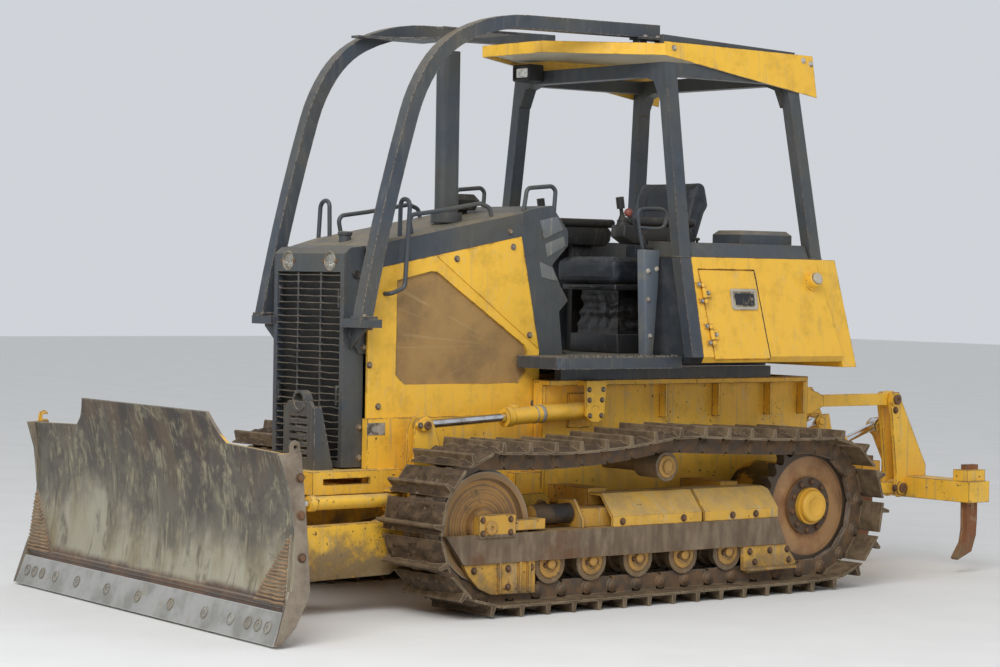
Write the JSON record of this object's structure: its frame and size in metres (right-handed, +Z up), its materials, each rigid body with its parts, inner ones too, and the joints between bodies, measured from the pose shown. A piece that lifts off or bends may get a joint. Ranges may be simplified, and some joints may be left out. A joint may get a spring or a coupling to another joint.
{
  "type": "bulldozer",
  "caption": "Crawler dozer with an angling and tilting blade, open canopy, forestry sweeps and a parallel-link rear ripper.",
  "frame": {"origin": "on the ground under the middle of the machine's box", "axes": "+Y towards the rear, +X towards the machine's left side, +Z up"},
  "size_m": [2.6975, 5.0017, 2.8887],
  "materials": {
    "yellow_paint": "satin, dusty",
    "slate_paint": "satin, scratched",
    "black_paint": "satin, worn",
    "worn_yellow": "chipped, muddy",
    "muddy_steel": "muddy, rails polished",
    "rusty_steel": "rusty, tread polished",
    "blade_steel": "scoured, scratched",
    "edge_steel": "scoured",
    "rod_chrome": "polished",
    "screen_brown": "perforated, dusty",
    "lamp_glass": "clear",
    "black_plastic": "textured",
    "seat_vinyl": "worn vinyl",
    "engine_grey": "oily"
  },
  "bodies": {
    "chassis": {"main_frame": "yellow_paint", "lift_saddles": "yellow_paint", "engine": "engine_grey", "radiator": "black_paint", "grille_frame": "slate_paint", "grille_bars": "black_paint", "lamps": "lamp_glass", "hood": "slate_paint", "side_panel_left": "yellow_paint", "side_panel_right": "yellow_paint", "side_screens": "screen_brown", "dash_cowl": "slate_paint", "precleaner": "black_plastic", "exhaust_stack": "slate_paint", "grab_rails": "slate_paint", "operator_platform": "slate_paint", "seat_base": "black_plastic", "seat_cushion": "seat_vinyl", "seat_back": "seat_vinyl", "arm_consoles": "black_plastic", "controls": "black_plastic", "side_box_left": "yellow_paint", "side_box_right": "yellow_paint", "door_hinges": "yellow_paint", "deck_covers": "black_plastic", "fuel_tank": "yellow_paint", "canopy_frame": "slate_paint", "canopy_roof": "yellow_paint", "sweeps": "slate_paint", "hose_guard": "slate_paint", "track_left": "muddy_steel", "track_right": "muddy_steel", "sprocket_left": "rusty_steel", "sprocket_right": "rusty_steel", "track_frame_left": "worn_yellow", "track_frame_right": "worn_yellow", "track_covers": "yellow_paint", "final_drives": "yellow_paint", "idlers": "rusty_steel", "track_rollers": "rusty_steel"},
    "c_frame": {"c_frame": "yellow_paint"},
    "blade_yoke": {"blade_yoke": "yellow_paint"},
    "blade": {"blade": "blade_steel", "blade_brackets": "worn_yellow", "cutting_edges": "edge_steel"},
    "lift_barrels": {"lift_barrels": "yellow_paint"},
    "lift_rods": {"lift_rods": "rod_chrome"},
    "angle_barrel_left": {"angle_barrel_left": "yellow_paint"},
    "angle_rod_left": {"angle_rod_left": "rod_chrome"},
    "angle_barrel_right": {"angle_barrel_right": "yellow_paint"},
    "angle_rod_right": {"angle_rod_right": "rod_chrome"},
    "tilt_barrel": {"tilt_barrel": "yellow_paint"},
    "tilt_rod": {"tilt_rod": "rod_chrome"},
    "ripper_lower_links": {"ripper_lower_links": "yellow_paint"},
    "ripper_upper_links": {"ripper_upper_links": "yellow_paint"},
    "ripper_beam": {"ripper_beam": "yellow_paint", "ripper_shanks": "rusty_steel"},
    "ripper_barrels": {"ripper_barrels": "yellow_paint"},
    "ripper_rods": {"ripper_rods": "rod_chrome"},
    "side_door": {"side_door": "yellow_paint"}
  },
  "joints": [
    {"name": "blade_lift", "type": "hinge", "parent": "chassis", "child": "c_frame", "pos_m": [0.0344, -0.404, 0.455], "axis": [1, 0, 0], "range_deg": [-21.5, 14]},
    {"name": "lift_barrel_swing", "type": "hinge", "parent": "chassis", "child": "lift_barrels", "pos_m": [0.0344, -0.084, 0.93], "axis": [1, 0, 0], "range_deg": [-14.89, 9.8]},
    {"name": "lift_rod_slide", "type": "slide", "parent": "lift_barrels", "child": "lift_rods", "axis": [0, -0.9987, -0.0519], "range_m": [-0.179, 0.1172]},
    {"name": "blade_angle", "type": "hinge", "parent": "c_frame", "child": "blade_yoke", "pos_m": [0.0344, -1.944, 0.33], "axis": [0, 0, 1], "range_deg": [-20.5, 29.5]},
    {"name": "angle_barrel_left_swing", "type": "hinge", "parent": "c_frame", "child": "angle_barrel_left", "pos_m": [0.5094, -1.284, 0.525], "axis": [0, 0, 1], "range_deg": [-5.56, 7.87]},
    {"name": "angle_rod_left_slide", "type": "slide", "parent": "angle_barrel_left", "child": "angle_rod_left", "axis": [-0.0037, -1, 0], "range_m": [-0.2519, 0.1757]},
    {"name": "angle_barrel_right_swing", "type": "hinge", "parent": "c_frame", "child": "angle_barrel_right", "pos_m": [-0.4406, -1.284, 0.525], "axis": [0, 0, 1], "range_deg": [-5.56, 7.86]},
    {"name": "angle_rod_right_slide", "type": "slide", "parent": "angle_barrel_right", "child": "angle_rod_right", "axis": [-0.0363, -0.9993, 0], "range_m": [-0.1757, 0.2519]},
    {"name": "blade_tilt", "type": "hinge", "parent": "blade_yoke", "child": "blade", "pos_m": [0.01871, -2.14338, 0.33], "axis": [-0.0785, -0.9969, 0], "range_deg": [-9, 9]},
    {"name": "tilt_barrel_swing", "type": "hinge", "parent": "blade_yoke", "child": "tilt_barrel", "pos_m": [0.41708, -2.17975, 0.64], "axis": [-0.0785, -0.9969, 0], "range_deg": [-2.38, 2.38]},
    {"name": "tilt_rod_slide", "type": "slide", "parent": "tilt_barrel", "child": "tilt_rod", "axis": [-0.9885, 0.0778, 0.1293], "range_m": [-0.0584, 0.0584]},
    {"name": "ripper_lift", "type": "hinge", "parent": "chassis", "child": "ripper_lower_links", "pos_m": [0.0344, 1.706, 0.445], "axis": [1, 0, 0], "range_deg": [-36, 42]},
    {"name": "ripper_upper_swing", "type": "hinge", "parent": "chassis", "child": "ripper_upper_links", "pos_m": [0.0344, 1.646, 0.94], "axis": [1, 0, 0], "range_deg": [-36.3, 42.3]},
    {"name": "ripper_beam_level", "type": "hinge", "parent": "ripper_lower_links", "child": "ripper_beam", "pos_m": [0.0344, 2.306, 0.445], "axis": [1, 0, 0], "range_deg": [-42.3, 36.3]},
    {"name": "ripper_barrel_swing", "type": "hinge", "parent": "chassis", "child": "ripper_barrels", "pos_m": [0.0344, 1.656, 0.6], "axis": [1, 0, 0], "range_deg": [-32.73, 38.13]},
    {"name": "ripper_rod_slide", "type": "slide", "parent": "ripper_barrels", "child": "ripper_rods", "axis": [0, 0.9533, 0.3019], "range_m": [-0.1096, 0.1276]},
    {"name": "side_door_swing", "type": "hinge", "parent": "chassis", "child": "side_door", "pos_m": [0.82345, 0.4432, 1.42], "axis": [-0.1358, -0.1565, 0.9783], "range_deg": [-110, 0]}
  ],
  "couplings": [
    {"joint": "lift_barrel_swing", "follows": "blade_lift", "ratio": 0.6786},
    {"joint": "lift_rod_slide", "follows": "blade_lift", "m_per_rad": 0.4716},
    {"joint": "angle_barrel_left_swing", "follows": "blade_angle", "ratio": 0.2566},
    {"joint": "angle_rod_left_slide", "follows": "blade_angle", "m_per_rad": -0.4854},
    {"joint": "angle_barrel_right_swing", "follows": "blade_angle", "ratio": 0.2564},
    {"joint": "angle_rod_right_slide", "follows": "blade_angle", "m_per_rad": 0.4854},
    {"joint": "tilt_barrel_swing", "follows": "blade_tilt", "ratio": 0.2316},
    {"joint": "tilt_rod_slide", "follows": "blade_tilt", "m_per_rad": 0.3591},
    {"joint": "ripper_upper_swing", "follows": "ripper_lift", "ratio": 1},
    {"joint": "ripper_beam_level", "follows": "ripper_lift", "ratio": -1},
    {"joint": "ripper_barrel_swing", "follows": "ripper_lift", "ratio": 0.9007},
    {"joint": "ripper_rod_slide", "follows": "ripper_lift", "m_per_rad": 0.1713}
  ]
}
